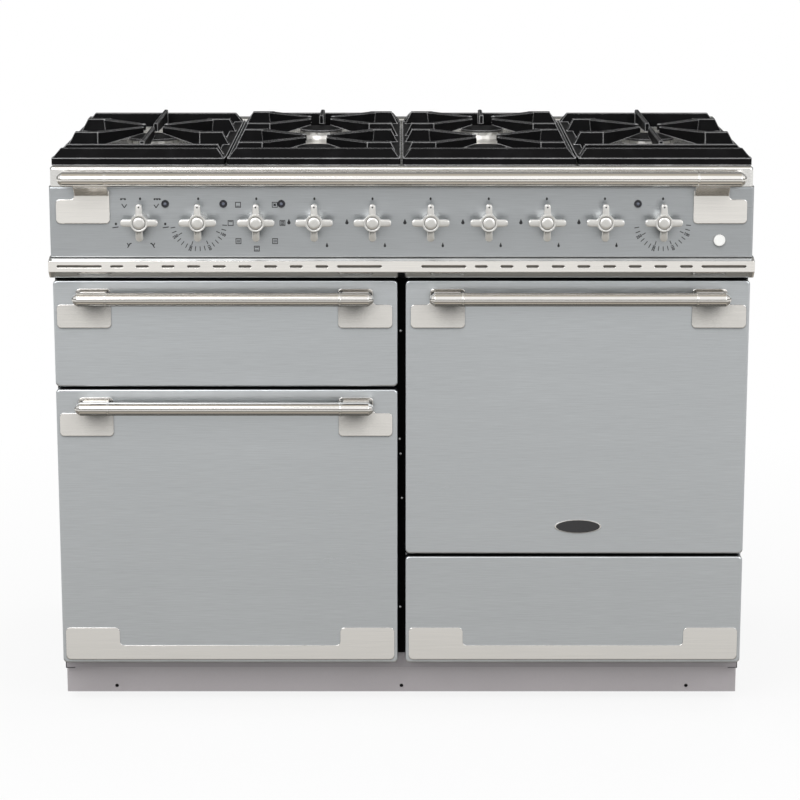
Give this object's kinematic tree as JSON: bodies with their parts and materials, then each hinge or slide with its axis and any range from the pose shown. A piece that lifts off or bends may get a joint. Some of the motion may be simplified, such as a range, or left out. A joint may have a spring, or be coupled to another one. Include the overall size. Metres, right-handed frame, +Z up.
{
  "type": "range cooker",
  "caption": "Free-standing range cooker in brushed steel with a gas hob, a glide-out grill, drop-down oven doors and a storage drawer.",
  "frame": {"origin": "middle of the floor area, on the floor", "axes": "+X to the viewer's right, +Y from the front to the back, +Z up"},
  "size_m": [1.092, 0.648, 0.905],
  "materials": {
    "brushed_doors": "satin",
    "polished_trim": "polished",
    "hob_steel": "satin",
    "cast_iron": "matte",
    "burner_alloy": "satin",
    "burner_enamel": "satin",
    "knob_metal": "satin",
    "spindle_steel": "satin",
    "black_enamel": "gloss",
    "side_paint": "satin",
    "galvanised": "satin",
    "plinth_paint": "satin",
    "chrome_wire": "polished",
    "tap_brass": "satin",
    "switch_plastic": "matte",
    "lamp_lens": "gloss",
    "button_plastic": "gloss",
    "seal_rubber": "matte",
    "foot_plastic": "matte"
  },
  "bodies": {
    "carcass": {"left_side_panel": "side_paint", "right_side_panel": "side_paint", "back_panel": "galvanised", "base_pan": "galvanised", "plinth": "plinth_paint", "front_frame": "black_enamel", "hob_tray": "hob_steel", "rear_trim": "hob_steel", "control_panel": "brushed_doors", "vent_strip": "polished_trim", "front_rail": "polished_trim", "burner_heads": "burner_alloy", "burner_caps": "burner_enamel", "pan_support_left_outer": "cast_iron", "pan_support_left_inner": "cast_iron", "pan_support_right_inner": "cast_iron", "pan_support_right_outer": "cast_iron", "grill_cavity": "black_enamel", "left_oven_cavity": "black_enamel", "right_oven_cavity": "black_enamel", "grill_element": "spindle_steel", "oven_shelves": "chrome_wire", "oven_seals": "seal_rubber", "gas_valves": "tap_brass", "oven_controls": "switch_plastic", "indicator_lamps": "lamp_lens", "levelling_feet": "foot_plastic", "drawer_runners": "galvanised"},
    "grill_drawer": {"grill_drawer_front": "brushed_doors", "grill_drawer_handle": "polished_trim", "grill_drawer_carriage": "galvanised", "grill_pan": "black_enamel"},
    "left_oven_door": {"left_oven_door": "brushed_doors", "left_oven_door_liner": "black_enamel", "left_oven_door_handle": "polished_trim", "left_oven_kick_trim": "polished_trim"},
    "right_oven_door": {"right_oven_door": "brushed_doors", "right_oven_door_liner": "black_enamel", "right_oven_door_handle": "polished_trim"},
    "storage_drawer": {"storage_drawer_front": "brushed_doors", "storage_drawer_box": "galvanised", "storage_drawer_kick_trim": "polished_trim"},
    "ignition_button": {"ignition_button": "button_plastic"},
    "rear_rollers": {"rear_rollers": "foot_plastic"},
    "grill_knob": {"grill_knob": "knob_metal"},
    "left_oven_temperature_knob": {"left_oven_temperature_knob": "knob_metal"},
    "left_oven_function_knob": {"left_oven_function_knob": "knob_metal"},
    "right_oven_temperature_knob": {"right_oven_temperature_knob": "knob_metal"},
    "gas_spindle_1": {"gas_spindle_1": "spindle_steel"},
    "gas_knob_1": {"gas_knob_1": "knob_metal"},
    "gas_spindle_2": {"gas_spindle_2": "spindle_steel"},
    "gas_knob_2": {"gas_knob_2": "knob_metal"},
    "gas_spindle_3": {"gas_spindle_3": "spindle_steel"},
    "gas_knob_3": {"gas_knob_3": "knob_metal"},
    "gas_spindle_4": {"gas_spindle_4": "spindle_steel"},
    "gas_knob_4": {"gas_knob_4": "knob_metal"},
    "gas_spindle_5": {"gas_spindle_5": "spindle_steel"},
    "gas_knob_5": {"gas_knob_5": "knob_metal"},
    "gas_spindle_6": {"gas_spindle_6": "spindle_steel"},
    "gas_knob_6": {"gas_knob_6": "knob_metal"}
  },
  "joints": [
    {"name": "grill_drawer_slide", "type": "slide", "parent": "carcass", "child": "grill_drawer", "axis": [0, -1, 0], "range_m": [0, 0.3]},
    {"name": "left_oven_door_hinge", "type": "hinge", "parent": "carcass", "child": "left_oven_door", "pos_m": [-0.511, -0.274, 0.086], "axis": [1, 0, 0], "range_deg": [0, 90], "stiffness_Nm_per_rad": 8, "springref_deg": -17.19},
    {"name": "right_oven_door_hinge", "type": "hinge", "parent": "carcass", "child": "right_oven_door", "pos_m": [0.036, -0.274, 0.267], "axis": [1, 0, 0], "range_deg": [0, 90], "stiffness_Nm_per_rad": 8, "springref_deg": -17.19},
    {"name": "storage_drawer_slide", "type": "slide", "parent": "carcass", "child": "storage_drawer", "axis": [0, -1, 0], "range_m": [0, 0.34]},
    {"name": "ignition_button_push", "type": "slide", "parent": "carcass", "child": "ignition_button", "axis": [0, 1, 0], "range_m": [0, 0.003], "stiffness_N_per_m": 500, "springref_m": -0.002},
    {"name": "rear_rollers_spin", "type": "hinge", "parent": "carcass", "child": "rear_rollers", "pos_m": [0, 0.264, 0.025], "axis": [1, 0, 0], "continuous": true},
    {"name": "grill_knob_turn", "type": "hinge", "parent": "carcass", "child": "grill_knob", "pos_m": [-0.40275, -0.284, 0.792], "axis": [0, 1, 0], "range_deg": [-150, 150]},
    {"name": "left_oven_temperature_knob_turn", "type": "hinge", "parent": "carcass", "child": "left_oven_temperature_knob", "pos_m": [-0.31325, -0.284, 0.792], "axis": [0, 1, 0], "range_deg": [0, 270]},
    {"name": "left_oven_function_knob_turn", "type": "hinge", "parent": "carcass", "child": "left_oven_function_knob", "pos_m": [-0.22375, -0.284, 0.792], "axis": [0, 1, 0], "continuous": true},
    {"name": "right_oven_temperature_knob_turn", "type": "hinge", "parent": "carcass", "child": "right_oven_temperature_knob", "pos_m": [0.40275, -0.284, 0.792], "axis": [0, 1, 0], "range_deg": [0, 270]},
    {"name": "gas_spindle_1_push", "type": "slide", "parent": "carcass", "child": "gas_spindle_1", "axis": [0, 1, 0], "range_m": [0, 0.004], "stiffness_N_per_m": 1500, "springref_m": -0.002},
    {"name": "gas_knob_1_turn", "type": "hinge", "parent": "gas_spindle_1", "child": "gas_knob_1", "pos_m": [-0.13425, -0.284, 0.792], "axis": [0, -1, 0], "range_deg": [0, 210]},
    {"name": "gas_spindle_2_push", "type": "slide", "parent": "carcass", "child": "gas_spindle_2", "axis": [0, 1, 0], "range_m": [0, 0.004], "stiffness_N_per_m": 1500, "springref_m": -0.002},
    {"name": "gas_knob_2_turn", "type": "hinge", "parent": "gas_spindle_2", "child": "gas_knob_2", "pos_m": [-0.04475, -0.284, 0.792], "axis": [0, -1, 0], "range_deg": [0, 210]},
    {"name": "gas_spindle_3_push", "type": "slide", "parent": "carcass", "child": "gas_spindle_3", "axis": [0, 1, 0], "range_m": [0, 0.004], "stiffness_N_per_m": 1500, "springref_m": -0.002},
    {"name": "gas_knob_3_turn", "type": "hinge", "parent": "gas_spindle_3", "child": "gas_knob_3", "pos_m": [0.04475, -0.284, 0.792], "axis": [0, -1, 0], "range_deg": [0, 210]},
    {"name": "gas_spindle_4_push", "type": "slide", "parent": "carcass", "child": "gas_spindle_4", "axis": [0, 1, 0], "range_m": [0, 0.004], "stiffness_N_per_m": 1500, "springref_m": -0.002},
    {"name": "gas_knob_4_turn", "type": "hinge", "parent": "gas_spindle_4", "child": "gas_knob_4", "pos_m": [0.13425, -0.284, 0.792], "axis": [0, -1, 0], "range_deg": [0, 210]},
    {"name": "gas_spindle_5_push", "type": "slide", "parent": "carcass", "child": "gas_spindle_5", "axis": [0, 1, 0], "range_m": [0, 0.004], "stiffness_N_per_m": 1500, "springref_m": -0.002},
    {"name": "gas_knob_5_turn", "type": "hinge", "parent": "gas_spindle_5", "child": "gas_knob_5", "pos_m": [0.22375, -0.284, 0.792], "axis": [0, -1, 0], "range_deg": [0, 210]},
    {"name": "gas_spindle_6_push", "type": "slide", "parent": "carcass", "child": "gas_spindle_6", "axis": [0, 1, 0], "range_m": [0, 0.004], "stiffness_N_per_m": 1500, "springref_m": -0.002},
    {"name": "gas_knob_6_turn", "type": "hinge", "parent": "gas_spindle_6", "child": "gas_knob_6", "pos_m": [0.31325, -0.284, 0.792], "axis": [0, -1, 0], "range_deg": [0, 210]}
  ]
}
